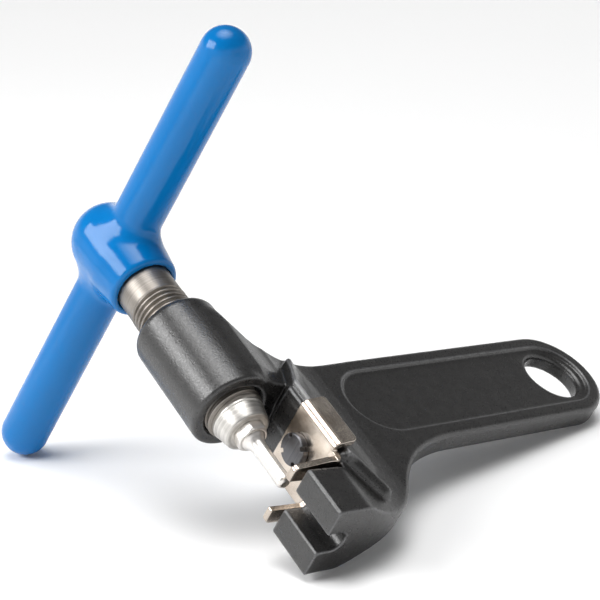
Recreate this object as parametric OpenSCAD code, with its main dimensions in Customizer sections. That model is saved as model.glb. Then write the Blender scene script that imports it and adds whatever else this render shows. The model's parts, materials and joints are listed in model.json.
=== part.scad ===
// Hand-held roller-chain tool: a cast frame carries a drive screw that pushes a pin through a chain.
// The shapes are drawn in the tool's own axes and then laid down as the tool rests on a table:
// +X runs along the drive screw from its T-handle to the anvil, +Y towards the end of the hand grip,
// and +Z out of the grip's face. Their origin is where the drive axis meets the anvil's inner face,
// and that point is also the origin of the finished part.

/* [Casting] */
// Outer diameter of the threaded barrel
barrel_d = 18.9; // [17.6:0.1:20.6]
// Far end of the barrel, on the T-handle's side of the anvil face
barrel_back = 51.6; // [48:0.1:54]
// Near end of the barrel, facing the anvil
barrel_front = 25.2; // [24:0.1:28]
// Thickness of the hand grip
grip_t = 6; // [5:0.1:7]
// Width of the hand grip, and diameter of its round end
grip_w = 25.8; // [22:0.1:28]
// Distance of the grip's end centre beyond the drive axis
grip_reach = 98.5; // [80:0.5:120]
// Distance of the grip's end centre back from the anvil face
grip_set = 27.4; // [25.4:0.1:29.4]
// Lean of the grip from a right angle to the drive axis, in degrees
grip_lean = 4.3; // [2.5:0.1:6]
// Diameter of the hanging hole
hang_d = 14; // [8:0.5:15]
// Width of the raised rim around the grip's sunk panel
rim_w = 3.4; // [2.5:0.1:4]
// Depth of the sunk panel, on both faces
panel_depth = 0.8; // [0.4:0.1:1.2]
// Distance of the panel's near end centre from the drive axis
panel_start = 38.3; // [36:0.5:50]

/* [Anvil] */
// Length of the anvil along the drive axis
anvil_l = 12.3; // [11:0.1:13.5]
// Thickness of the anvil block, across its two prongs
anvil_t = 17.3; // [16.5:0.1:17.8]
// How far the anvil's prongs reach past the drive axis
anvil_tip = 1.8; // [1:0.1:3]
// Width of the chain slot between the prongs
slot_w = 4.94; // [4.6:0.02:5.4]
// Depth of the chain slot below the drive axis
slot_bottom = 4.3; // [3.5:0.1:5]
// Distance from the drive axis to the throat's inner wall
throat_y = 8.5; // [8.2:0.1:9]

/* [Chain seat] */
// Thickness of the seat's sheet metal
sheet_t = 1.4; // [1:0.1:1.5]
// Outer radius of the sheet's bends
bend_r = 1.7; // [1.7:0.1:2.2]
// Clear width between the seat's two prongs, for a chain roller
roller_gap = 8; // [7.8:0.1:8.4]
// Width over the two prongs at their tips
prong_span = 14.9; // [13:0.1:15.4]
// How far the seat's prongs reach past the drive axis
prong_tip = 3.5; // [2:0.1:4.5]
// Gap between the seat's outer face and the anvil
seat_gap = 1.1; // [0.8:0.1:1.4]
// Length of the folded ear, along the drive axis
ear_l = 13; // [10:0.1:13.5]
// Rise of the ear from flat, in degrees
ear_rise = 10; // [8:1:16]
// Length of the ear beyond its bend
ear_w = 4; // [3:0.1:4.5]
// Head diameter of the screw that holds the seat
screw_head_d = 7; // [6:0.1:7.6]
// Height of that head
screw_head_h = 1.6; // [0.8:0.1:1.8]

/* [Drive screw] */
// Major diameter of the drive thread
thread_d = 12.8; // [12.4:0.02:13]
// Thread's advance in one turn
thread_pitch = 1.27; // [1:0.01:1.75]
// Radial clearance of the screw in the barrel's bore
thread_clearance = 0.05; // [0.03:0.01:0.08]
// Distance of the hub's rim back from the anvil face
hub_rim = 64; // [62:0.5:66]
// Diameter of the coated hub
hub_d = 17.8; // [17:0.1:19]
// Distance of the crossbar's axis back from the anvil face
bar_back = 76.3; // [74:0.1:79]
// Diameter of the coated crossbar
bar_d = 11.1; // [10:0.1:12]
// Length of the coated crossbar
bar_l = 118.5; // [100:0.5:120]
// Turn of the crossbar from square to the grip's face, in degrees
bar_turn = 2.7; // [0:0.1:6]
// Thickness of the dipped coating
coat_t = 1.1; // [0.8:0.1:1.5]

/* [Drive pin] */
// Diameter of the drive pin's shaft
pin_d = 3.18; // [3:0.02:3.4]
// Distance of the pin's tip back from the anvil face
pin_tip = 4.2; // [3:0.1:6]
// Distance of the screw's nose back from the anvil face
nose_end = 19.1; // [18.5:0.1:20]
// Diameter of the nose at its end
nose_d = 10; // [8.5:0.1:10.5]
// Width of the pin's hexagon across flats
hex_af = 6.35; // [5.5:0.05:7]
// Length of the hexagon
hex_l = 2.2; // [1.8:0.1:2.6]

/* [Hidden] */
$fn = 64;
EPS = 0.01;
AXES = [[1, 0, 0], [0, 1, 0], [0, 0, 1]];

barrel_r = barrel_d / 2;
barrel_edge = 2.4;
barrel_root_y = 11;
rim_edge = 0.8;
bore_r = thread_d / 2 + thread_clearance;
half_t = grip_t / 2;
grip_r = grip_w / 2;
grip_edge = 1.1;
grip_end = [-grip_set, grip_reach];
grip_dir = [-sin(grip_lean), cos(grip_lean)];
anvil_half = anvil_t / 2;
wall_face = throat_y - sheet_t;
seat_screw_r = 2;
seat_screw_x = -11.6;
seat_screw_z = 1.8;
seat_hole_r = seat_screw_r + 0.2;
seat_end = -3.7;
seat_corner = 1;
ear_edge_y = wall_face + bend_r + ear_w * cos(ear_rise) - bend_r * sin(ear_rise);
wall_bottom = -7.1;
ear_bend_z = 9.2;
crest_y = 10.4;
crest_z = 9.6;
crease_y = 24.2;
ledge_w = 0.6;
core_bar_r = bar_d / 2 - coat_t;
core_bar_l = bar_l - 2 * coat_t;
plain_end = -58.2;
thread_crest = 0.3;
shank_relief = 0.12;
neck_r = 2.7;
waist_r = 2.1;
tip_chamfer = 0.6;
head_r = hub_d / 2 - coat_t;
shank_r = thread_d / 2 - shank_relief;
dome_x = -80;
stud_r = 2;
stud_l = 8;

// Points on a cubic curve through four control points, without its last point.
function bend(p, steps = 14) = [for (i = [0 : steps - 1]) let (t = i / steps, s = 1 - t)
    s * s * s * p[0] + 3 * s * s * t * p[1] + 3 * s * t * t * p[2] + t * t * t * p[3]];
// Points on an arc around c, from angle a0 to a1.
function arc(c, r, a0, a1, steps = 8) =
    [for (i = [0 : steps]) let (a = a0 + (a1 - a0) * i / steps) c + r * [cos(a), sin(a)]];

// --- How the tool lies on a table: on the crossbar's lower end, the anvil's heel and the grip's end ---
bar_dir = [0, sin(bar_turn), cos(bar_turn)];
bar_foot = [-bar_back, 0, 0] - (bar_l / 2 - bar_d / 2) * bar_dir;
heel = [11.6, 5.2, -anvil_half];
function grip_foot(n) = let (out = -[n.x, n.y] / norm([n.x, n.y]))
    [each grip_end + (grip_r - grip_edge) * out, grip_edge - half_t];
// Up vector of the plane that touches the three feet, each a sphere of its own radius.
function table_up(n, rounds) = rounds == 0 ? n : let (
    a = bar_foot - bar_d / 2 * n,
    b = grip_foot(n) - grip_edge * n,
    up = cross(b - a, heel - a),
    unit = up / norm(up) * sign(up.z)) table_up(unit, rounds - 1);
up = table_up([-0.48, -0.19, 0.85], 12);
level_x = (AXES.x - up.x * up) / norm(AXES.x - up.x * up);
level_y = cross(up, level_x);
module at_rest() {
    multmatrix([[each level_x, 0], [each level_y, 0], [each up, 0], [0, 0, 0, 1]]) children();
}

// Turns a shape drawn around +Z so that it lies along the drive axis, +Z becoming +X.
module along_drive() { rotate([0, 90, 0]) children(); }
// A solid of revolution around the drive axis from points [radius, x].
module turned(points) { along_drive() rotate_extrude() polygon(points); }
// An outline in Y and Z swept along the drive axis from x0 to x1.
module swept(x0, x1, points) {
    translate([x0, 0, 0]) rotate([90, 0, 90]) linear_extrude(x1 - x0) polygon(points);
}
module both_faces() { children(); mirror([0, 0, 1]) children(); }
module at_grip_end() { translate([each grip_end, 0]) rotate(grip_lean) children(); }

// --- Casting ---
// Where an edge of the grip lies at a distance y from the drive axis: side 1 faces the anvil.
function grip_x(y, side) = -grip_set + (grip_reach - y) * tan(grip_lean) + side * grip_r / cos(grip_lean);
yoke_end_y = 50.5;
belly_end = [3.6, 26.8];
belly = bend([[anvil_l, -anvil_tip], [11.4, 6], [13.3, 19.5], belly_end]);
elbow = bend([belly_end, [-5.2, 33.5], [grip_x(38, 1) + 0.9, 38.7], [grip_x(yoke_end_y, 1), yoke_end_y]]);
shoulder_end = [-46, 3];
shoulder = bend([[grip_x(34, -1), 34], [-34.2, 22], [-33.6, 10], shoulder_end]);
yoke_plan = concat([[-barrel_front, 0], [-barrel_front, barrel_root_y], [-22.4, throat_y]],
    arc([-1.5, throat_y - 1.5], 1.5, 90, 0),
    [[0, -anvil_tip]], belly, elbow,
    [[grip_x(yoke_end_y, 1), yoke_end_y], [grip_x(yoke_end_y, -1), yoke_end_y]], shoulder,
    [shoulder_end, [shoulder_end.x, 0]]);
// Half thickness of the casting against Y: the anvil block thins out into the grip.
thin_end = 26;
thin_curve = bend([[5.6, anvil_half], [9.2, anvil_half], [12, 4.2], [thin_end, half_t]]);
function mirrored(top) = concat(top, [for (i = [len(top) - 1 : -1 : 0]) [top[i].x, -top[i].y]]);
block_section = mirrored(concat([[-anvil_tip - 1, anvil_half]], thin_curve, [[thin_end, half_t], [60, half_t]]));
// Beside the barrel the web is no thicker than the barrel itself.
web_section = mirrored(concat([[0, 7], [4.4, 8.2], [8, 7.2]], [for (p = thin_curve) if (p.x > 11.5) p],
    [[thin_end, half_t], [60, half_t]]));
web_end = -12;
ridge_section = [[throat_y, 0], [throat_y, anvil_half], [throat_y + ledge_w, anvil_half], [crest_y, crest_z],
    [crease_y, half_t], [crease_y, 0]];
// The ridge turns up the web beside the barrel, and runs out down the anvil block.
ridge_outline = [[-22.6, throat_y], [-23.6, 10], [-31, 13.4], [-35.2, 22], [-35.2, crease_y], [0, crease_y],
    [3.6, 20.6], [6.4, 18.4], [6.6, 17.2], [5.4, 15.8], [-1.4, 9.6], [-2.6, throat_y]];

module grip_section() {
    flat = grip_r - grip_edge;
    high = half_t - grip_edge;
    polygon(concat(arc([flat, high], grip_edge, 0, 90, 5), arc([-flat, high], grip_edge, 90, 180, 5),
        arc([-flat, -high], grip_edge, 180, 270, 5), arc([flat, -high], grip_edge, 270, 360, 5)));
}
module grip() at_grip_end() {
    translate([0, -55, 0]) rotate([-90, 0, 0]) linear_extrude(55) grip_section();
    rotate_extrude() intersection() {
        grip_section();
        translate([0, -half_t]) square([grip_r, grip_t]);
    }
}
module panel() at_grip_end() translate([0, 0, half_t - panel_depth]) {
    panel_r = grip_r - rim_w;
    run = (grip_reach - panel_start) / cos(grip_lean);
    cylinder(r = panel_r, h = grip_t);
    translate([0, -run, 0]) cylinder(r = panel_r, h = grip_t);
    translate([-panel_r, -run, 0]) cube([2 * panel_r, run, grip_t]);
}
// The ridge under the seat's ear, on the front face only.
module ridge() intersection() {
    swept(shoulder_end.x, anvil_l, ridge_section);
    linear_extrude(anvil_t) polygon(ridge_outline);
    linear_extrude(anvil_t) polygon(yoke_plan);
}
module barrel() {
    turned(concat([[0, -barrel_back]],
        arc([barrel_r - barrel_edge, -barrel_back + barrel_edge], barrel_edge, -90, 0),
        arc([barrel_r - rim_edge, -barrel_front - rim_edge], rim_edge, 0, 90, 4),
        [[0, -barrel_front]]));
}
module chain_slot() {
    translate([-1, -anvil_tip - 1, -slot_w / 2]) cube([anvil_l + 2, slot_bottom - slot_w / 2 + anvil_tip + 1, slot_w]);
    translate([-1, slot_bottom - slot_w / 2, 0]) along_drive() cylinder(d = slot_w, h = anvil_l + 2);
}
module frame() color("#2b2b2e") at_rest() difference() {
    union() {
        barrel();
        intersection() {
            linear_extrude(anvil_t, center = true) polygon(yoke_plan);
            union() {
                swept(shoulder_end.x - 1, web_end, web_section);
                swept(web_end, anvil_l + 1, block_section);
            }
        }
        ridge();
        grip();
    }
    translate([-barrel_back - 1, 0, 0]) along_drive() cylinder(r = bore_r, h = barrel_back - barrel_front + 2);
    chain_slot();
    both_faces() panel();
    at_grip_end() cylinder(d = hang_d, h = 2 * grip_t, center = true);
    translate([seat_screw_x, throat_y - 1, seat_screw_z]) rotate([-90, 0, 0]) cylinder(r = seat_screw_r, h = 9);
}

// --- Chain seat ---
// The sheet's edge as seen along the drive axis: the wall, one bend and one raised ear.
module ear_strip() {
    hub = [wall_face + bend_r, ear_bend_z];
    flat = 90 + ear_rise;
    out = [cos(flat), sin(flat)];
    run = [cos(ear_rise), sin(ear_rise)];
    inner = bend_r - sheet_t;
    polygon(concat([[wall_face, wall_bottom]], arc(hub, bend_r, 180, flat),
        [hub + bend_r * out + ear_w * run, hub + inner * out + ear_w * run],
        arc(hub, inner, flat, 180), [[throat_y, wall_bottom]]));
}
module seat_wall() intersection() {
    translate([seat_end - ear_l, 0, 0]) rotate([90, 0, 90]) linear_extrude(ear_l) ear_strip();
    // The ear's free corners are rounded.
    linear_extrude(4 * anvil_half, center = true) polygon(concat(
        [[seat_end - ear_l, 0]], [[seat_end, 0]],
        arc([seat_end - seat_corner, ear_edge_y - seat_corner], seat_corner, 0, 90),
        arc([seat_end - ear_l + seat_corner, ear_edge_y - seat_corner], seat_corner, 90, 180)));
}
module seat_plan() {
    out = -seat_gap;
    hub = [out - bend_r, throat_y - bend_r];
    inner = bend_r - sheet_t;
    polygon(concat([[seat_end - EPS, throat_y], [hub.x, throat_y]], arc(hub, bend_r, 90, 0),
        [[out, -prong_tip], [out - sheet_t, -prong_tip]], arc(hub, inner, 0, 90), [[seat_end - EPS, wall_face]]));
}
module seat_flange_outline() {
    tip = prong_span / 2;
    top = anvil_half + 0.2;
    corner = 1;
    gap = roller_gap / 2;
    polygon([[throat_y + 1, -tip], [corner - prong_tip, -tip], [-prong_tip, corner - tip],
        [-prong_tip, -gap], [slot_bottom, -gap], [slot_bottom + 1, 1 - gap],
        [slot_bottom + 1, gap - 1], [slot_bottom, gap], [-prong_tip, gap],
        [-prong_tip, tip - corner], [corner - prong_tip, tip], [throat_y - 2 * bend_r, top], [throat_y + 1, top]]);
}
module seat_flange() intersection() {
    linear_extrude(anvil_t + 4, center = true) seat_plan();
    translate([seat_end - 1, 0, 0]) rotate([90, 0, 90]) linear_extrude(-seat_end) seat_flange_outline();
}
module chain_seat() color("#cfc8c0") at_rest() difference() {
    union() {
        seat_wall();
        seat_flange();
    }
    translate([seat_screw_x, 0, seat_screw_z]) rotate([-90, 0, 0]) cylinder(r = seat_hole_r, h = 20);
}
module seat_screw() color("#3a3b3f") at_rest()
    translate([seat_screw_x, wall_face, seat_screw_z]) rotate([-90, 0, 0]) {
        head_r = screw_head_d / 2;
        notch = 0.9;
        difference() {
            translate([0, 0, -screw_head_h]) cylinder(r = head_r, h = screw_head_h);
            for (a = [45 : 90 : 315]) rotate(a)
                translate([head_r - notch, -notch / 2, -screw_head_h - 1]) cube([2 * notch, notch, screw_head_h + 2]);
        }
        cylinder(r = seat_screw_r, h = sheet_t + 7);
    }

// --- Drive screw, T-handle and pin ---
// Outline of the screw's head and the start of its shank, as [radius, x].
head_outline = concat([[0, dome_x - head_r]], arc([0, dome_x], head_r, -90, 0, 10),
    [[head_r, -hub_rim - 2.6], [shank_r, -hub_rim - 1.2]]);
module drive_screw() color("#9b948c") at_rest() difference() {
    turned(concat(head_outline, [[shank_r, plain_end], [thread_d / 2, plain_end + thread_crest],
        [thread_d / 2, -barrel_front - thread_crest], [thread_d / 2 - 0.5, -barrel_front + 0.2],
        [5.75, -22.6], [nose_d / 2 + 0.15, -nose_end - 0.9], [nose_d / 2, -nose_end], [0, -nose_end]]));
    translate([-bar_back, 0, 0]) rotate([-bar_turn, 0, 0]) cylinder(r = core_bar_r, h = 3 * head_r, center = true);
    translate([-nose_end - stud_l, 0, 0]) along_drive() cylinder(r = stud_r, h = stud_l + 1);
}
module round_bar(r, l) {
    translate([-bar_back, 0, 0]) rotate([-bar_turn, 0, 0]) {
        cylinder(r = r, h = l - 2 * r, center = true);
        for (side = [-1, 1]) translate([0, 0, side * (l / 2 - r)]) sphere(r = r);
    }
}
module crossbar() color("#8d8a86") at_rest() round_bar(core_bar_r, core_bar_l);
module handle_coating() color("#0b6fc4") at_rest() difference() {
    union() {
        turned(concat([[0, dome_x - hub_d / 2]], arc([0, dome_x], hub_d / 2, -90, 0, 10),
            [[hub_d / 2, -70.5], [8.1, -hub_rim - 0.7], [7.6, -hub_rim], [0, -hub_rim]]));
        round_bar(bar_d / 2, bar_l);
    }
    turned(concat(head_outline, [[shank_r, -hub_rim + 1], [0, -hub_rim + 1]]));
    round_bar(core_bar_r, core_bar_l);
}
module drive_pin() color("#d9d4cc") at_rest() {
    hex_x = -nose_end + hex_l;
    translate([-nose_end - stud_l + 0.5, 0, 0]) along_drive() cylinder(r = stud_r, h = stud_l);
    translate([-nose_end, 0, 0]) along_drive() cylinder(d = hex_af / cos(30), h = hex_l, $fn = 6);
    turned([[0, hex_x - 0.5], [neck_r, hex_x - 0.5], [neck_r, hex_x], [waist_r, hex_x + 0.6],
        [1.75, hex_x + 1.6], [pin_d / 2, hex_x + 2.8], [pin_d / 2, -pin_tip - tip_chamfer],
        [pin_d / 2 - tip_chamfer, -pin_tip], [0, -pin_tip]]);
}

frame();
chain_seat();
seat_screw();
drive_screw();
crossbar();
handle_coating();
drive_pin();
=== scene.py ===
"""Looks for the chain tool. Every shape is worked out in the tool's own axes, in millimetres, and then laid
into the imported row. x runs along the drive axis towards the anvil, y towards the grip's end, and z out of the
tool's front."""
import json
import math

import bpy
import numpy as np
from mathutils import Matrix, Vector


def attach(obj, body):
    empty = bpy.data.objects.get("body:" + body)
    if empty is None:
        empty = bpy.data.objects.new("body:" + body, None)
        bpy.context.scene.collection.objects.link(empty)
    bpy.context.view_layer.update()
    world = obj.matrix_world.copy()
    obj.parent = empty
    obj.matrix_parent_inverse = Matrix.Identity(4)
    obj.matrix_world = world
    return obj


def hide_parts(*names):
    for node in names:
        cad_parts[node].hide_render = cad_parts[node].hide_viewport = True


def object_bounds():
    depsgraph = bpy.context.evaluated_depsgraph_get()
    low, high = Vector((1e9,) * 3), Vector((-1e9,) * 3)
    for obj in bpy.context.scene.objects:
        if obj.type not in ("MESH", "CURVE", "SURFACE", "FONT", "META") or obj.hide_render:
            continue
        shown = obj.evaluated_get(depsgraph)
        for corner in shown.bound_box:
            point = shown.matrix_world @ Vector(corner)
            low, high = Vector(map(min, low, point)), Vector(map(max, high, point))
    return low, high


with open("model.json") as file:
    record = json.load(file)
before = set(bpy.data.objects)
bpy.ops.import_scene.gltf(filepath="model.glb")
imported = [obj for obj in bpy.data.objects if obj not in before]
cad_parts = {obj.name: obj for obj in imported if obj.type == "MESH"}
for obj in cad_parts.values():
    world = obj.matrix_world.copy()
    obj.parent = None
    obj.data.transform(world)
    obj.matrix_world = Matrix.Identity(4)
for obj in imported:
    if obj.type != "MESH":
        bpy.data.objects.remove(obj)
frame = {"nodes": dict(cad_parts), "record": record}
cad_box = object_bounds()

MM = 0.001
mounts = {m["name"]: m for m in frame["record"]["mounts"]}
TOOL_X = Vector(mounts["drive_axis"]["axis"]).normalized()
TOOL_Z = Vector(mounts["hanging_hole"]["axis"]).normalized()
TOOL_Y = TOOL_Z.cross(TOOL_X)
ORIGIN = Vector(mounts["drive_axis"]["pos_m"])
TO_ROW = np.array([TOOL_X, TOOL_Y, TOOL_Z]).T
FLOOR_Z = cad_box[0][2]

# ---------------------------------------------------------------- camera, floor and light


def look_matrix(position, back, roll):
    """A frame whose -Z looks along -back, turned by roll about the line of sight."""
    back = back.normalized()
    right = Vector((0, 0, 1)).cross(back).normalized()
    up = back.cross(right)
    level = Matrix((right, up, back)).transposed().to_4x4()
    return Matrix.Translation(position) @ level @ Matrix.Rotation(roll, 4, "Z")


def direction(azimuth, elevation):
    """The unit vector that points to an azimuth and an elevation in degrees."""
    a, e = math.radians(azimuth), math.radians(elevation)
    return Vector((math.cos(e) * math.cos(a), math.cos(e) * math.sin(a), math.sin(e)))


AIM = Vector((-0.04516, 0.03284, 0.02475))
VIEW = direction(-33.99, 15.95)
VIEW_DISTANCE = 0.41386
VIEW_ROLL = math.radians(-1.85)
camera_data = bpy.data.cameras.new("camera")
camera_data.lens = 112.1
camera_data.sensor_width = 36
camera_data.clip_start = 0.01
camera = bpy.data.objects.new("camera", camera_data)
bpy.context.scene.collection.objects.link(camera)
camera.matrix_world = look_matrix(AIM + VIEW * VIEW_DISTANCE, VIEW, VIEW_ROLL)
bpy.context.scene.camera = camera


def area_light(name, azimuth, elevation, distance, width, height, power, spread=180):
    """A soft rectangular light that faces the tool. Its angles are in degrees."""
    data = bpy.data.lights.new(name, "AREA")
    data.shape = "RECTANGLE"
    data.size, data.size_y = width, height
    data.energy = power
    data.spread = math.radians(spread)
    light = bpy.data.objects.new(name, data)
    bpy.context.scene.collection.objects.link(light)
    away = direction(azimuth, elevation)
    light.matrix_world = look_matrix(AIM + away * distance, away, 0)


area_light("key", azimuth=-106, elevation=34, distance=0.60, width=0.42, height=0.25, power=2.7)
area_light("top", azimuth=150, elevation=89, distance=1.20, width=4.20, height=4.20, power=40.0, spread=60)


def soft_room(low, high, strength_low, strength_high):
    """White light from all round. Its strength is strength_low up to the low elevation, and fades to
    strength_high at the high one."""
    world = bpy.data.worlds.new("studio")
    world.use_nodes = True
    tree = world.node_tree
    sky = tree.nodes.new("ShaderNodeTexCoord")
    height = tree.nodes.new("ShaderNodeSeparateXYZ")
    fade = tree.nodes.new("ShaderNodeMapRange")
    fade.interpolation_type = "SMOOTHSTEP"
    fade.inputs["From Min"].default_value = math.sin(math.radians(low))
    fade.inputs["From Max"].default_value = math.sin(math.radians(high))
    fade.inputs["To Min"].default_value = strength_low
    fade.inputs["To Max"].default_value = strength_high
    tree.links.new(sky.outputs["Generated"], height.inputs["Vector"])
    tree.links.new(height.outputs["Z"], fade.inputs["Value"])
    tree.nodes["Background"].inputs["Color"].default_value = (1, 1, 1, 1)
    tree.links.new(fade.outputs["Result"], tree.nodes["Background"].inputs["Strength"])
    return world


bpy.context.scene.world = soft_room(low=5, high=26, strength_low=1.05, strength_high=0.13)
bpy.context.scene.view_settings.view_transform = "Standard"

# ---------------------------------------------------------------- materials

# The colour sockets of a Mix node: its first and second input, and its output.
MIX_A, MIX_B, MIX_OUT = 6, 7, 2


class Nodes:
    """Short names for the few shader nodes that the materials share."""

    def __init__(self, name):
        self.material = bpy.data.materials.new(name)
        self.material.use_nodes = True
        self.tree = self.material.node_tree
        self.shader = self.tree.nodes["Principled BSDF"]
        self.coords = self.add("ShaderNodeTexCoord").outputs["Object"]

    def add(self, kind, **settings):
        node = self.tree.nodes.new(kind)
        for key, value in settings.items():
            setattr(node, key, value)
        return node

    def link(self, source, target):
        self.tree.links.new(source, target)

    def put(self, socket, value):
        """Links the socket to value if that is a socket, and else sets it."""
        if isinstance(value, bpy.types.NodeSocket):
            self.link(value, socket)
        else:
            socket.default_value = value

    def noise(self, per_mm, detail=2.0, roughness=0.5):
        """Noise with per_mm features to the millimetre."""
        node = self.add("ShaderNodeTexNoise")
        self.link(self.coords, node.inputs["Vector"])
        node.inputs["Scale"].default_value = per_mm / MM
        node.inputs["Detail"].default_value = detail
        node.inputs["Roughness"].default_value = roughness
        return node.outputs["Fac"]

    def ramp(self, value, low, high, out_low, out_high):
        """The value, mapped from low..high to out_low..out_high."""
        node = self.add("ShaderNodeMapRange")
        self.put(node.inputs["Value"], value)
        node.inputs["From Min"].default_value = low
        node.inputs["From Max"].default_value = high
        node.inputs["To Min"].default_value = out_low
        node.inputs["To Max"].default_value = out_high
        return node.outputs["Result"]

    def mix(self, factor, a, b):
        node = self.add("ShaderNodeMix", data_type="RGBA")
        self.put(node.inputs["Factor"], factor)
        self.put(node.inputs[MIX_A], a)
        self.put(node.inputs[MIX_B], b)
        return node.outputs[MIX_OUT]

    def math(self, operation, a, b):
        node = self.add("ShaderNodeMath", operation=operation)
        self.put(node.inputs[0], a)
        self.put(node.inputs[1], b)
        return node.outputs[0]

    def attribute(self, name):
        return self.add("ShaderNodeAttribute", attribute_name=name).outputs["Fac"]

    def bump(self, height, distance_mm, strength=1.0, normal=None):
        node = self.add("ShaderNodeBump")
        self.put(node.inputs["Height"], height)
        node.inputs["Distance"].default_value = distance_mm * MM
        node.inputs["Strength"].default_value = strength
        if normal is not None:
            self.link(normal, node.inputs["Normal"])
        return node.outputs["Normal"]

    def set(self, **sockets):
        """Fills the shader's sockets, named with _ for a space, and gives the finished material."""
        for name, value in sockets.items():
            self.put(self.shader.inputs[name.replace("_", " ")], value)
        return self.material


def casting_material():
    """Blackened casting: grainy, faintly pitted, and pale along its edges, partly from wear and partly a
    painted highlight.
    """
    n = Nodes("casting")
    grain = n.noise(2.3, 3.0, 0.6)
    pits = n.noise(0.42, 2.0, 0.5)
    # Convex edges are mixed towards a pale grey: partly wear, partly a painted highlight along the edges.
    wear_and_highlight = n.math("MULTIPLY", n.ramp(n.noise(0.9, 3.0, 0.6), 0.3, 0.7, 0.5, 1.0), n.attribute("edge"))
    base = n.mix(n.ramp(pits, 0.35, 0.7, 0.0, 1.0), (0.0135, 0.0130, 0.0128, 1), (0.0200, 0.0193, 0.0188, 1))
    tone = n.mix(n.math("MULTIPLY", wear_and_highlight, 0.85), base, (0.15, 0.15, 0.155, 1))
    rough = n.ramp(grain, 0.3, 0.7, 0.24, 0.38)
    normal = n.bump(grain, 0.10, 0.6)
    normal = n.bump(pits, 0.12, 0.4, normal)
    return n.set(Base_Color=tone, Roughness=rough, Normal=normal, IOR=1.68)


def coating_material():
    """Glossy dipped vinyl, with a faint swirl and orange peel."""
    n = Nodes("coating")
    swirl = n.noise(0.045, 2.0, 0.5)
    peel = n.noise(0.35, 2.0, 0.5)
    tone = n.mix(n.ramp(swirl, 0.3, 0.7, 0.0, 1.0), (0.0, 0.146, 0.425, 1), (0.0, 0.160, 0.46, 1))
    normal = n.bump(peel, 0.05, 0.18)
    normal = n.bump(swirl, 0.5, 0.2, normal)
    return n.set(Base_Color=tone, Roughness=n.ramp(peel, 0.3, 0.7, 0.12, 0.18), Normal=normal, IOR=1.38)


def metal_material(name, low, high, rough, ring_mm, ring_depth):
    """Metal turned about the drive axis: rings ring_mm apart in the tone, the roughness and the relief."""
    n = Nodes(name)
    rings = n.add("ShaderNodeTexNoise", noise_dimensions="1D")
    n.link(n.attribute("along"), rings.inputs["W"])
    rings.inputs["Scale"].default_value = 1 / (ring_mm * MM)
    rings.inputs["Detail"].default_value = 4.0
    rings.inputs["Roughness"].default_value = 0.7
    fine = rings.outputs["Fac"]
    stain = n.noise(0.25, 3.0, 0.6)
    tone = n.mix(n.ramp(n.math("ADD", fine, n.math("MULTIPLY", stain, 0.6)), 0.5, 1.1, 0.0, 1.0), low, high)
    roughness = n.ramp(fine, 0.25, 0.75, rough - 0.05, rough + 0.07)
    return n.set(Base_Color=tone, Metallic=1.0, Roughness=roughness, Normal=n.bump(fine, ring_depth, 0.5))


def plated_material(name, low, high, rough, grain_mm):
    """Plated sheet: clouded, finely grained, and darker along its sheared edges."""
    n = Nodes(name)
    cloud = n.noise(0.16, 3.0, 0.55)
    grain = n.noise(1 / grain_mm, 2.0, 0.6)
    tone = n.mix(n.ramp(cloud, 0.3, 0.7, 0.0, 1.0), low, high)
    tone = n.mix(n.math("MULTIPLY", n.attribute("edge"), 0.35), tone, (0.30, 0.26, 0.22, 1))
    roughness = n.ramp(grain, 0.3, 0.7, rough - 0.04, rough + 0.07)
    return n.set(Base_Color=tone, Metallic=1.0, Roughness=roughness, Normal=n.bump(grain, 0.045, 0.6))


CASTING = casting_material()
COATING = coating_material()
SHANK = metal_material("shank", (0.19, 0.17, 0.15, 1), (0.36, 0.335, 0.305, 1),
                       rough=0.42, ring_mm=0.45, ring_depth=0.008)
NOSE_STEEL = metal_material("nose", (0.36, 0.345, 0.32, 1), (0.80, 0.775, 0.74, 1),
                            rough=0.38, ring_mm=0.60, ring_depth=0.010)
SEAT = plated_material("seat", (0.40, 0.335, 0.28, 1), (0.72, 0.65, 0.575, 1), rough=0.17, grain_mm=0.20)
BLACK_SCREW = metal_material("screw_black", (0.08, 0.08, 0.085, 1), (0.19, 0.19, 0.20, 1),
                             rough=0.36, ring_mm=0.30, ring_depth=0.006)
PIN = metal_material("pin", (0.72, 0.685, 0.645, 1), (0.88, 0.86, 0.835, 1),
                     rough=0.34, ring_mm=0.70, ring_depth=0.006)
BAR_STEEL = metal_material("bar_steel", (0.35, 0.34, 0.33, 1), (0.52, 0.51, 0.50, 1),
                           rough=0.32, ring_mm=0.50, ring_depth=0.008)


def floor_material():
    """Pale matt floor, faintly clouded."""
    n = Nodes("floor")
    cloud = n.noise(0.004, 2.0, 0.5)
    tone = n.mix(cloud, (0.955, 0.955, 0.955, 1), (0.975, 0.975, 0.975, 1))
    return n.set(Base_Color=tone, Roughness=0.85, Normal=n.bump(n.noise(0.6, 2.0), 0.02, 0.1))


FLOOR_HALF = 3.0
FLOOR_CORNERS = [(x * FLOOR_HALF, y * FLOOR_HALF, FLOOR_Z) for x, y in ((-1, -1), (1, -1), (1, 1), (-1, 1))]
floor_mesh = bpy.data.meshes.new("floor")
floor_mesh.from_pydata(FLOOR_CORNERS, [], [(0, 1, 2, 3)])
floor_mesh.materials.append(floor_material())
floor = bpy.data.objects.new("floor", floor_mesh)
bpy.context.scene.collection.objects.link(floor)

# ---------------------------------------------------------------- distance fields

# All fields are in millimetres, and negative inside.
TINY = 1e-12
FAR = 1e9
NEWTON_STEPS = 4
# Near a seam the gradient can vanish. A Newton step takes its squared length as at least LEAST_GRADIENT, and
# its factor stays within LONGEST_MOVE of a grid step.
LEAST_GRADIENT, LONGEST_MOVE = 0.25, 0.4


def length(*parts):
    return np.sqrt(sum(p * p for p in parts))


def meet(a, b, r):
    """Where a and b overlap, with their edge rounded by r."""
    return np.minimum(np.maximum(a, b), -r) + length(np.maximum(a + r, 0), np.maximum(b + r, 0))


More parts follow.
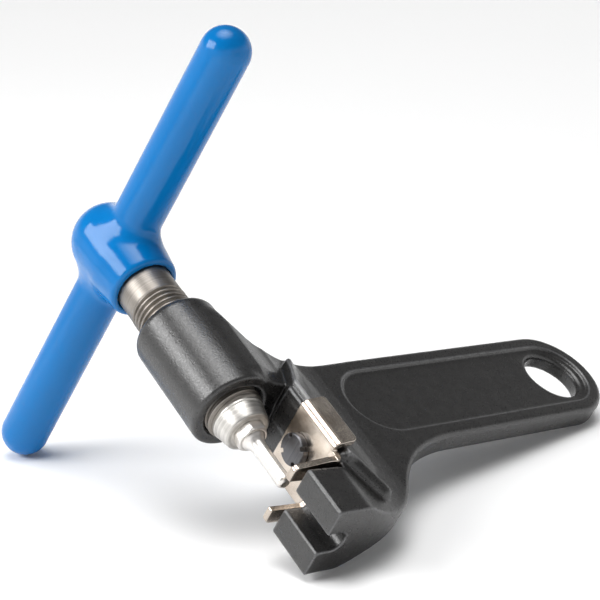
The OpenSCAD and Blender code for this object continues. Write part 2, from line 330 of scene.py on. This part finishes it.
def join(a, b, r):
    """a and b together, with a fillet of radius r between them."""
    return -meet(-a, -b, r)


def cut(a, b, r):
    """a without b, with the edge of the cut rounded by r."""
    return meet(a, -b, r)


def outline(points, x, y):
    """Signed distance to a closed outline, over a whole 2-D grid."""
    best = np.full(np.broadcast(x, y).shape, FAR)
    inside = np.zeros(best.shape, bool)
    for (ax, ay), (bx, by) in zip(points, points[1:] + points[:1]):
        ex, ey = bx - ax, by - ay
        if ex * ex + ey * ey < TINY:
            continue
        t = np.clip(((x - ax) * ex + (y - ay) * ey) / (ex * ex + ey * ey), 0, 1)
        best = np.minimum(best, (x - ax - t * ex) ** 2 + (y - ay - t * ey) ** 2)
        if abs(ey) > TINY:
            crosses = (ay > y) != (by > y)
            inside ^= crosses & (x < ax + (y - ay) * ex / ey)
    return np.where(inside, -np.sqrt(best), np.sqrt(best))


def curve(a, b, c, d, steps=18):
    """Points of a cubic curve through four control points, without its last point."""
    out = []
    for i in range(steps):
        t = i / steps
        s = 1 - t
        w = (s ** 3, 3 * s * s * t, 3 * s * t * t, t ** 3)
        out.append(tuple(sum(k * p[j] for k, p in zip(w, (a, b, c, d))) for j in (0, 1)))
    return out


CORNERS = [(a, b, c) for a in (0, 1) for b in (0, 1) for c in (0, 1)]


def sample(field, low, step, points):
    """The field and its gradient at each point, by trilinear interpolation."""
    u = (points - low) / step
    top = np.array(field.shape) - 2
    i = np.clip(np.floor(u).astype(int), 0, top)
    f = np.clip(u - i, 0, 1)
    x, y, z = f.T
    value = 0
    grad = np.zeros_like(points)
    for a, b, d in CORNERS:
        v = field[i[:, 0] + a, i[:, 1] + b, i[:, 2] + d]
        wx, wy, wz = (x if a else 1 - x), (y if b else 1 - y), (z if d else 1 - z)
        value = value + v * wx * wy * wz
        grad[:, 0] += v * (1 if a else -1) * wy * wz
        grad[:, 1] += v * (1 if b else -1) * wx * wz
        grad[:, 2] += v * (1 if d else -1) * wx * wy
    return value, grad / step


def skin(field, low, step):
    """Surface of a field: one point in each cell that it crosses, and one quad round each grid edge that it
    crosses."""
    inside = field < 0
    nx, ny, nz = (n - 1 for n in field.shape)
    count = sum(inside[a:a + nx, b:b + ny, c:c + nz].astype(np.int8) for a, b, c in CORNERS)
    cells = np.argwhere((count > 0) & (count < 8))
    number = np.full((nx, ny, nz), -1, np.int64)
    number[tuple(cells.T)] = np.arange(len(cells))
    total = np.zeros((len(cells), 3))
    hits = np.zeros(len(cells))
    for p in CORNERS:
        for axis in range(3):
            if p[axis]:
                continue
            q = list(p)
            q[axis] = 1
            fp = field[cells[:, 0] + p[0], cells[:, 1] + p[1], cells[:, 2] + p[2]]
            fq = field[cells[:, 0] + q[0], cells[:, 1] + q[1], cells[:, 2] + q[2]]
            crossed = (fp < 0) != (fq < 0)
            t = np.where(crossed, fp / np.where(crossed, fp - fq, 1), 0)
            spot = np.tile(np.array(p, float), (len(cells), 1))
            spot[:, axis] += t
            total += spot * crossed[:, None]
            hits += crossed
    points = low + (cells + total / hits[:, None]) * step
    size = (nx, ny, nz)
    quads = []
    for axis in range(3):
        b, c = (axis + 1) % 3, (axis + 2) % 3
        edges = np.argwhere(inside != np.roll(inside, -1, axis))
        edges = edges[(edges[:, axis] < size[axis]) & (edges[:, b] > 0) & (edges[:, c] > 0)
                      & (edges[:, b] < size[b]) & (edges[:, c] < size[c])]
        around = []
        for db, dc in ((-1, -1), (0, -1), (0, 0), (-1, 0)):
            cell = edges.copy()
            cell[:, b] += db
            cell[:, c] += dc
            around.append(number[tuple(cell.T)])
        quad = np.stack(around, 1)
        leaving = inside[tuple(edges.T)]
        quads.append(np.where(leaving[:, None], quad, quad[:, ::-1]))
    quads = np.vstack(quads)
    for _ in range(NEWTON_STEPS):
        value, grad = sample(field, low, step, points)
        move = value / np.maximum((grad ** 2).sum(1), LEAST_GRADIENT)
        points -= np.clip(move, -LONGEST_MOVE * step, LONGEST_MOVE * step)[:, None] * grad
    return points, quads


def bend_of(field, step):
    """How sharply the surface turns outwards, in 1/mm."""
    out = np.zeros_like(field)
    for axis in range(3):
        out += np.roll(field, 1, axis) + np.roll(field, -1, axis) - 2 * field
    return out / step ** 2


def place(name, points, faces, material, body, node, attributes):
    mesh = bpy.data.meshes.new(name)
    points = np.asarray(points, float)
    faces = np.asarray(faces)
    row = points @ TO_ROW.T * MM + np.array(ORIGIN)
    mesh.vertices.add(len(row))
    mesh.vertices.foreach_set("co", row.astype(np.float32).ravel())
    mesh.loops.add(faces.size)
    mesh.loops.foreach_set("vertex_index", faces.astype(np.int32).ravel())
    mesh.polygons.add(len(faces))
    mesh.polygons.foreach_set("loop_start", np.arange(0, faces.size, faces.shape[1], dtype=np.int32))
    mesh.update(calc_edges=True)
    mesh.validate()
    mesh.shade_smooth()
    for key, values in attributes.items():
        layer = mesh.attributes.new(key, "FLOAT", "POINT")
        layer.data.foreach_set("value", np.asarray(values, np.float32))
    mesh.materials.append(material)
    piece = bpy.data.objects.new(name, mesh)
    bpy.context.scene.collection.objects.link(piece)
    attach(piece, body)
    if node:
        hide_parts(node)


def carve(name, shape, low, high, step, material, body, node, edge_range):
    """Samples shape(x, y, z) on a grid and makes a piece of its surface. edge_range says how sharply an edge
    has to turn, in 1/mm, for the material's edge mark to start and to be full; on the casting that mark is
    partly wear and partly a painted highlight."""
    low = np.array(low, float)
    counts = [int(math.ceil((h - l) / step)) + 1 for l, h in zip(low, high)]
    x, y, z = (low[i] + step * np.arange(counts[i]) for i in range(3))
    field = shape(x[:, None, None], y[None, :, None], z[None, None, :])
    field = np.ascontiguousarray(np.broadcast_to(field, counts), dtype=np.float64)
    points, quads = skin(field, low, step)
    bend, _ = sample(bend_of(field, step), low, step, points)
    edge = np.clip((bend - edge_range[0]) / (edge_range[1] - edge_range[0]), 0, 1)
    place(name, points, quads, material, body, node, {"edge": edge, "along": points[:, 0] * MM})


# ---------------------------------------------------------------- casting

BARREL_R, BARREL_BACK, BARREL_FRONT = 9.45, -51.6, -25.2
BARREL_MIDDLE, BARREL_REACH = (BARREL_BACK + BARREL_FRONT) / 2, (BARREL_FRONT - BARREL_BACK) / 2
BARREL_ROUND_BACK, BARREL_ROUND_FRONT = 2.4, 0.9
BORE_R, BORE_PAST, BORE_CHAMFER = 6.45, 0.9, 0.7
HALF_T, GRIP_R, GRIP_L = 3.0, 12.9, 62
GRIP_END = (-27.4, 98.5)
LEAN = math.radians(4.3)
ANVIL_HALF, ANVIL_TIP, ANVIL_L = 8.65, -1.8, 12.3
SLOT_HALF, SLOT_BOTTOM, SLOT_FROM = 2.47, 4.3, -2
THROAT_Y, THROAT_R = 8.5, 1.5
PANEL_DEPTH, PANEL_START, PANEL_DRAFT, RIM_W = 0.8, 38.3, 0.6, 3.4
HANG_R, HANG_ROUND = 7.0, 1.3
THIN_END = 26.0
YOKE_END = 50.5
YOKE_BACK = -46
# The web between the barrel and the anvil block has its own section, which swells into the block's from
# SWELL_FROM on.
SWELL_FROM, SWELL_L = -17, 8


def grip_x(y, side):
    """Where the grip's edge is at a height y. side is 1 towards the anvil and -1 away from it."""
    return GRIP_END[0] + (GRIP_END[1] - y) * math.tan(LEAN) + side * GRIP_R / math.cos(LEAN)


BELLY_END = (3.6, 26.8)
BELLY = curve((ANVIL_L, ANVIL_TIP), (11.4, 6), (13.3, 19.5), BELLY_END)
ELBOW = curve(BELLY_END, (-5.2, 33.5), (grip_x(38, 1) + 0.9, 38.7), (grip_x(YOKE_END, 1), YOKE_END))
SHOULDER = curve((grip_x(34, -1), 34), (-34.2, 22), (-33.6, 10), (YOKE_BACK, 3))
THROAT_CORNER = [(THROAT_R * (math.sin(a) - 1), THROAT_Y + THROAT_R * (math.cos(a) - 1))
                 for a in np.linspace(0, math.pi / 2, 7)]
YOKE_PLAN = ([(BARREL_FRONT, 0), (BARREL_FRONT, 11), (-22.4, THROAT_Y)] + THROAT_CORNER + [(0, ANVIL_TIP)]
             + BELLY + ELBOW + [(grip_x(YOKE_END, 1), YOKE_END), (grip_x(YOKE_END, -1), YOKE_END)]
             + SHOULDER + [(YOKE_BACK, 3), (YOKE_BACK, 0)])
THIN = curve((5.6, ANVIL_HALF), (9.2, ANVIL_HALF), (12, 4.2), (THIN_END, HALF_T))
TAIL = [(THIN_END, HALF_T), (70, HALF_T)]
BLOCK_HALF_SECTION = [(ANVIL_TIP - 3, ANVIL_HALF)] + THIN + TAIL
WEB_HALF_SECTION = [(0, 7), (4.4, 8.2), (8, 7.2)] + [p for p in THIN if p[0] > 11.5] + TAIL

# The ridge's height z over y, and its plan. Towards the barrel its crest climbs away from the throat.
RIDGE_FOOT = 20.6
RIDGE_SECTION = [(THROAT_Y, ANVIL_HALF), (9.6, ANVIL_HALF), (10.1, 10.1), (RIDGE_FOOT, HALF_T)]
RIDGE_PLAN = [(-22.6, THROAT_Y), (-23.6, 10), (-31, 13.4), (-34.4, 17.5), (-35.2, RIDGE_FOOT),
              (-3, RIDGE_FOOT), (0.2, 17.8), (0.6, 15), (-1.4, 10.4), (-2.6, THROAT_Y)]
CLIMB_FROM, CLIMB_L, CLIMB_RATE = -23.6, 7.4, 0.46
# Turns a height above the ridge's slope into a distance from it.
RIDGE_SLOPE_COS = 0.84
FINGER_FROM, FINGER_TO, FINGER_R = (-3.0, 10.6, 7.7), (5.2, 16.6, 5.0), 1.75


def both_sides(half):
    """A closed section from its upper half."""
    return half + [(a, -b) for a, b in reversed(half)]


def yoke(x, y, z):
    """The anvil block and the web, down to the neck of the grip."""
    plan = outline(YOKE_PLAN, x, y)
    block = outline(both_sides(BLOCK_HALF_SECTION), y, z)
    web = outline(both_sides(WEB_HALF_SECTION), y, z)
    share = np.clip((x - SWELL_FROM) / SWELL_L, 0, 1)
    share = share * share * (3 - 2 * share)
    edge_r = np.interp(y, (8, 16, 30), (0.6, 0.8, 1.3))
    return meet(plan, web + (block - web) * share, edge_r)


def ridge(x, y, z):
    """The slope in front of the chain seat."""
    crest = THROAT_Y + CLIMB_RATE * np.clip(CLIMB_FROM - x, 0, CLIMB_L)
    down = THROAT_Y + (y - crest) * (RIDGE_FOOT - THROAT_Y) / (RIDGE_FOOT - crest)
    height = np.interp(down, [p[0] for p in RIDGE_SECTION], [p[1] for p in RIDGE_SECTION])
    edge_r = np.interp(x, (-32, -27), (1.5, 0.4))
    return meet(outline(RIDGE_PLAN, x, y), np.maximum(RIDGE_SLOPE_COS * (z - height), -z), edge_r)


def finger(x, y, z):
    """The narrow bar that the ridge runs out in."""
    way = [b - a for a, b in zip(FINGER_FROM, FINGER_TO)]
    gone = [c - a for a, c in zip(FINGER_FROM, (x, y, z))]
    part = np.clip(sum(w * g for w, g in zip(way, gone)) / sum(w * w for w in way), 0, 1)
    return length(*(g - part * w for w, g in zip(way, gone))) - FINGER_R


def casting(x, y, z):
    """The whole frame: barrel, yoke, ridge and grip, with the slot, panels, hanging hole and bore cut out."""
    rho = length(y, z)
    past_end = np.abs(x - BARREL_MIDDLE) - BARREL_REACH
    barrel_edge_r = np.where(x < BARREL_MIDDLE, BARREL_ROUND_BACK, BARREL_ROUND_FRONT)
    barrel = meet(rho - BARREL_R, past_end, barrel_edge_r)
    u = (x - GRIP_END[0]) * math.cos(LEAN) + (y - GRIP_END[1]) * math.sin(LEAN)
    v = -(x - GRIP_END[0]) * math.sin(LEAN) + (y - GRIP_END[1]) * math.cos(LEAN)
    side = length(u, np.maximum(v, 0)) - GRIP_R
    grip = meet(np.maximum(side, -v - GRIP_L), np.abs(z) - HALF_T, 1.2)
    body = join(np.minimum(yoke(x, y, z), grip), barrel, np.interp(x, (-29, -25.5), (3.2, 0.5)))
    body = join(body, ridge(x, y, z), np.interp(y, (13, 20), (0.5, 1.3)))
    body = join(body, finger(x, y, z), 0.6)
    slot = length(np.maximum(y - (SLOT_BOTTOM - SLOT_HALF), 0), z) - SLOT_HALF
    slot = np.where(y < SLOT_BOTTOM - SLOT_HALF, np.abs(z) - SLOT_HALF, slot)
    body = np.where(x > SLOT_FROM, cut(body, slot, 0.4), body)
    run = (GRIP_END[1] - PANEL_START) / math.cos(LEAN)
    flat = length(u, v - np.clip(v, -run, 0)) - (GRIP_R - RIM_W)
    for face in (1, -1):
        depth = HALF_T - face * z
        sunk = meet(flat + PANEL_DRAFT * depth, depth - PANEL_DEPTH, 0.4)
        body = np.where(face * z > 0, cut(body, sunk, 0.25), body)
    body = cut(body, length(u, v) - HANG_R, HANG_ROUND)
    bore = np.maximum(rho - BORE_R, past_end - BORE_PAST)
    mouth = np.maximum(rho - BORE_R - np.maximum(past_end + BORE_CHAMFER, 0), past_end - BORE_PAST)
    return cut(body, np.minimum(bore, mouth), 0.2)


carve("casting", casting, (-56, -12, -12), (16, 113, 12), 0.30, CASTING, "frame", "frame",
      edge_range=(1.1, 2.3))

# ---------------------------------------------------------------- chain seat and its screw

SHEET, SEAT_BEND = 1.4, 1.7
# Radius of the middle of the sheet round a bend.
BEND_MIDDLE = SEAT_BEND - SHEET / 2
SHEARED_R = 0.16
WALL_FACE = THROAT_Y - SHEET
SEAT_END, EAR_L, EAR_RISE, EAR_W = -3.7, 13.0, math.radians(10), 4.0
EAR_BEND_Z, WALL_BOTTOM = 9.2, -7.1
FLANGE_OUT = -1.1
PRONG_TIP, PRONG_LOW, FORK_HALF = -3.5, -7.44, 4.0
FORK_FLOOR = SLOT_BOTTOM + 1.0
SCREW_X, SCREW_Z, SCREW_R, HEAD_R, HEAD_H = -11.6, 1.8, 1.95, 3.5, 1.6
SCREW_HOLE_R, SCREW_L = 2.2, 6
NOTCH_HALF, NOTCH_FROM = 0.45, 2.6


def bent_strip(a, b, corner_a, corner_b, low_b, angle, reach):
    """A sheet on edge: up from low_b to a bend about (corner_a, corner_b), round it, and out at an angle for
    reach."""
    da, db = a - corner_a, b - corner_b
    straight = np.maximum(np.abs(da + BEND_MIDDLE) - SHEET / 2, np.maximum(db, low_b - b))
    across = -da * math.sin(angle) + db * math.cos(angle)
    forward = da * math.cos(angle) + db * math.sin(angle)
    ear = np.maximum(np.abs(across - BEND_MIDDLE) - SHEET / 2, np.maximum(-forward, forward - reach))
    arc = np.maximum(np.abs(length(da, db) - BEND_MIDDLE) - SHEET / 2, np.maximum(-db, forward))
    return np.minimum(np.minimum(straight, ear), arc)


def seat(x, y, z):
    """The bent sheet: the wall with its ear, and the arm that ends in two prongs."""
    strip = bent_strip(y, z, WALL_FACE + SEAT_BEND, EAR_BEND_Z, WALL_BOTTOM, EAR_RISE, EAR_W)
    centre_x = SEAT_END - EAR_L / 2
    ear_edge = WALL_FACE + SEAT_BEND + EAR_W * math.cos(EAR_RISE) - 0.25
    wall = meet(strip, meet(np.abs(x - centre_x) - EAR_L / 2, y - ear_edge, 1.0), SHEARED_R)
    dx, dy = x - (FLANGE_OUT - SEAT_BEND), y - (THROAT_Y - SEAT_BEND)
    back = np.maximum(np.abs(dy - BEND_MIDDLE) - SHEET / 2, np.maximum(dx, SEAT_END - 0.6 - x))
    corner = np.maximum(np.abs(length(dx, dy) - BEND_MIDDLE) - SHEET / 2, np.maximum(-dx, -dy))
    flange = np.maximum(np.abs(dx - BEND_MIDDLE) - SHEET / 2, np.maximum(dy, PRONG_TIP - y))
    strip = np.minimum(np.minimum(back, corner), flange)
    top = np.interp(y, (PRONG_TIP, 5), (7.4, 8.85))
    sides = meet(z - top, PRONG_LOW - z, 0.7)
    tips = meet(np.maximum(z - top, PRONG_LOW - z), PRONG_TIP - y, 1.0)
    fork = meet(np.abs(z) - FORK_HALF, y - FORK_FLOOR, 1.0)
    arm = meet(strip, cut(np.maximum(sides, tips), fork, 0.35), SHEARED_R)
    return cut(join(wall, arm, 0.12), length(x - SCREW_X, z - SCREW_Z) - SCREW_HOLE_R, 0.1)


carve("chain_seat", seat, (-17.6, -4.2, -8.2), (-0.2, 14.2, 12.8), 0.125, SEAT, "frame", "chain_seat",
      edge_range=(2.2, 6.0))


def seat_screw(x, y, z):
    """The screw that holds the seat, with four notches in its head's rim."""
    dx, dz = x - SCREW_X, z - SCREW_Z
    rho = length(dx, dz)
    head = meet(rho - HEAD_R, np.maximum(WALL_FACE - HEAD_H - y, y - WALL_FACE), 0.35)
    p, q = (dx + dz) * math.sqrt(0.5), (dx - dz) * math.sqrt(0.5)
    for along, across in ((p, q), (q, p)):
        notch = np.maximum(np.abs(across) - NOTCH_HALF, NOTCH_FROM - np.abs(along))
        head = cut(head, notch, 0.12)
    shank = np.maximum(rho - SCREW_R, np.maximum(WALL_FACE - 0.4 - y, y - WALL_FACE - SCREW_L))
    return np.minimum(head, shank)


carve("seat_screw", seat_screw, (-15.6, 5.0, -2.2), (-7.6, 13.6, 5.8), 0.1, BLACK_SCREW, "frame",
      "seat_screw", edge_range=(2.0, 6.0))

# ---------------------------------------------------------------- T-handle coating

BAR_BACK, BAR_R, BAR_L = -76.3, 5.55, 118.5
BAR_TURN = math.radians(2.7)
HUB_R, HUB_RIM, HUB_RIM_R, DOME_X, TAPER_FROM = 8.9, -64.0, 7.9, -80.0, -71.5
HOLLOW_R, HOLLOW_DEPTH = 6.5, 1.6
BAR_FILLET = 2.6


def coating(x, y, z):
    """The dipped skin over the crossbar and the screw's head, hollow where the shank comes out."""
    across = y * math.cos(BAR_TURN) - z * math.sin(BAR_TURN)
    along = y * math.sin(BAR_TURN) + z * math.cos(BAR_TURN)
    half = BAR_L / 2 - BAR_R
    bar = length(x - BAR_BACK, across, along - np.clip(along, -half, half)) - BAR_R
    rho = length(y, z)
    radius = np.interp(x, (TAPER_FROM, HUB_RIM), (HUB_R, HUB_RIM_R))
    hub = meet(np.where(x < DOME_X, length(x - DOME_X, rho) - HUB_R, rho - radius), x - HUB_RIM, 1.0)
    hollow = np.maximum(rho - HOLLOW_R, HUB_RIM - HOLLOW_DEPTH - x)
    return cut(join(bar, hub, BAR_FILLET), hollow, 0.3)


carve("handle_coating", coating, (-92, -11.5, -61.5), (-62, 11.5, 61.5), 0.45, COATING, "handle",
      "handle_coating", edge_range=(0.6, 2.0))

# ---------------------------------------------------------------- drive screw and pin

FACE_RINGS = 0.35


def spin(name, xs, radii, material, body, node, face_rings):
    """A surface of rings round the drive axis, at xs, with radii[station, direction]. face_rings is how much
    its rings of tone follow the radius, against x."""
    stations, around = radii.shape
    angle = np.linspace(0, 2 * math.pi, around, endpoint=False)
    xs = np.broadcast_to(np.asarray(xs, float)[:, None], radii.shape)
    points = np.stack([xs, radii * np.cos(angle), radii * np.sin(angle)], 2).reshape(-1, 3)
    i, j = np.meshgrid(np.arange(stations - 1), np.arange(around), indexing="ij")
    k = (j + 1) % around
    here, ahead = i * around, (i + 1) * around
    quads = np.stack([here + k, ahead + k, ahead + j, here + j], 2).reshape(-1, 4)
    tone = points[:, 0] + face_rings * length(points[:, 1], points[:, 2])
    place(name, points, quads, material, body, node, {"along": tone * MM})


def lathe(name, profile, around, material, body, node):
    """Rings at each (x, r) of the profile, where the profile may run inwards along a face."""
    xs, radii = np.array(profile).T
    spin(name, xs, np.repeat(radii[:, None], around, 1), material, body, node, FACE_RINGS)


def soft(profile, r=0.12, steps=4):
    """The profile with each corner rounded by about r."""
    pts = [np.array(p, float) for p in profile]
    out = [pts[0]]
    for a, b, c in zip(pts, pts[1:], pts[2:]):
        ab, cb = a - b, c - b
        la, lc = np.linalg.norm(ab), np.linalg.norm(cb)
        d = min(r, 0.45 * la, 0.45 * lc)
        p, q = b + ab / la * d, b + cb / lc * d
        for t in np.linspace(0, 1, steps):
            out.append((1 - t) ** 2 * p + 2 * t * (1 - t) * b + t * t * q)
    out.append(pts[-1])
    return [tuple(p) for p in out]


PITCH, CREST_R, ROOT_R, PLAIN_R = 1.27, 6.4, 5.72, 6.28
THREAD_FROM, THREAD_TO, RUN_IN, RUN_OUT, FADE_L = -58.4, -22.9, 0.9, 1.6, 1.4
# The thread's root takes this share of half a pitch, and its flank the next one.
ROOT_SHARE, FLANK_SHARE = 0.12, 0.66
CORE = [(-24.4, 5.8), (-22.8, 5.5), (-19.9, 4.9), (-19.1, 4.6)]
CORE_LIMIT = 5.85


def screw_radius(x, angle):
    """Plain shank, then a rounded right-hand thread, then the core that the turned nose hides."""
    phase = (x / PITCH - angle / (2 * math.pi)) % 1.0
    tooth = np.clip((np.abs(phase - 0.5) * 2 - ROOT_SHARE) / FLANK_SHARE, 0, 1)
    tooth = tooth * tooth * (3 - 2 * tooth)
    thread = ROOT_R + (CREST_R - ROOT_R) * tooth
    body = PLAIN_R + (thread - PLAIN_R) * np.clip((x - THREAD_FROM) / RUN_IN, 0, 1)
    fade = np.clip((x - THREAD_TO + RUN_OUT) / FADE_L, 0, 1)
    core = np.minimum(np.interp(x, [p[0] for p in CORE], [p[1] for p in CORE]), CORE_LIMIT)
    return np.where(x > THREAD_TO - RUN_OUT, body + (core - body) * fade, body)


SHANK_BACK, THREAD_RINGS_FROM, THREAD_RINGS_TO = -66.5, -58.6, -22.0
SHANK_STEP, THREAD_STEP = 0.5, 0.085
CORE_RINGS = [-21.8, -21.2, -20.6, -19.9, -19.6, -19.35, -19.2, -19.12]
rings = np.concatenate([np.arange(SHANK_BACK, THREAD_RINGS_FROM, SHANK_STEP),
                        np.arange(THREAD_RINGS_FROM, THREAD_RINGS_TO, THREAD_STEP), CORE_RINGS])
directions = np.linspace(0, 2 * math.pi, 144, endpoint=False)
screw_radii = screw_radius(rings[:, None], directions[None, :])
spin("drive_screw", rings, screw_radii, SHANK, "handle", "drive_screw", face_rings=0.0)

NOSE_PROFILE = [(-24.2, 5.5), (-23.3, 5.88), (-22.9, 5.84), (-22.75, 5.62), (-22.6, 5.72), (-19.75, 5.12),
                (-19.25, 4.98), (-19.1, 4.6), (-19.1, 3.2), (-19.3, 2.9)]
lathe("screw_nose", soft(NOSE_PROFILE), 128, NOSE_STEEL, "handle", None)

HEX_HALF, HEX_CORNER, HEX_CHAMFER = 3.175, 3.58, 0.45
HEX_BACK, HEX_FRONT = -19.3, -16.9


def hexagon(x, y, z):
    """The pin's hexagonal collar, with chamfered corners."""
    turns = (math.pi / 6, math.pi / 2, 5 * math.pi / 6)
    flats = [np.abs(y * math.cos(a) + z * math.sin(a)) - HEX_HALF for a in turns]
    prism = meet(meet(flats[0], flats[1], 0.1), flats[2], 0.1)
    ends = np.maximum(HEX_BACK - x, x - HEX_FRONT)
    cone = (length(y, z) - HEX_CORNER + np.maximum(0, HEX_CHAMFER + ends)) * 0.75
    return meet(meet(prism, cone, 0.12), ends, 0.15)


carve("pin_hexagon", hexagon, (-19.7, -4.0, -4.0), (-16.5, 4.0, 4.0), 0.08, PIN, "pin", None,
      edge_range=(0.5, 2.0))

PIN_PROFILE = [(-27.0, 0.4), (-26.9, 1.9), (-17.2, 1.9), (-17.1, 2.72), (-16.75, 2.66), (-16.1, 2.15),
               (-15.3, 1.8), (-14.2, 1.6), (-13.8, 1.59), (-4.85, 1.59), (-4.2, 1.05), (-4.2, 0.0)]
lathe("drive_pin", soft(PIN_PROFILE, 0.25), 96, PIN, "pin", "drive_pin")

# ---------------------------------------------------------------- the CAD node that stays

for slot in frame["nodes"]["crossbar"].material_slots:
    slot.material = BAR_STEEL
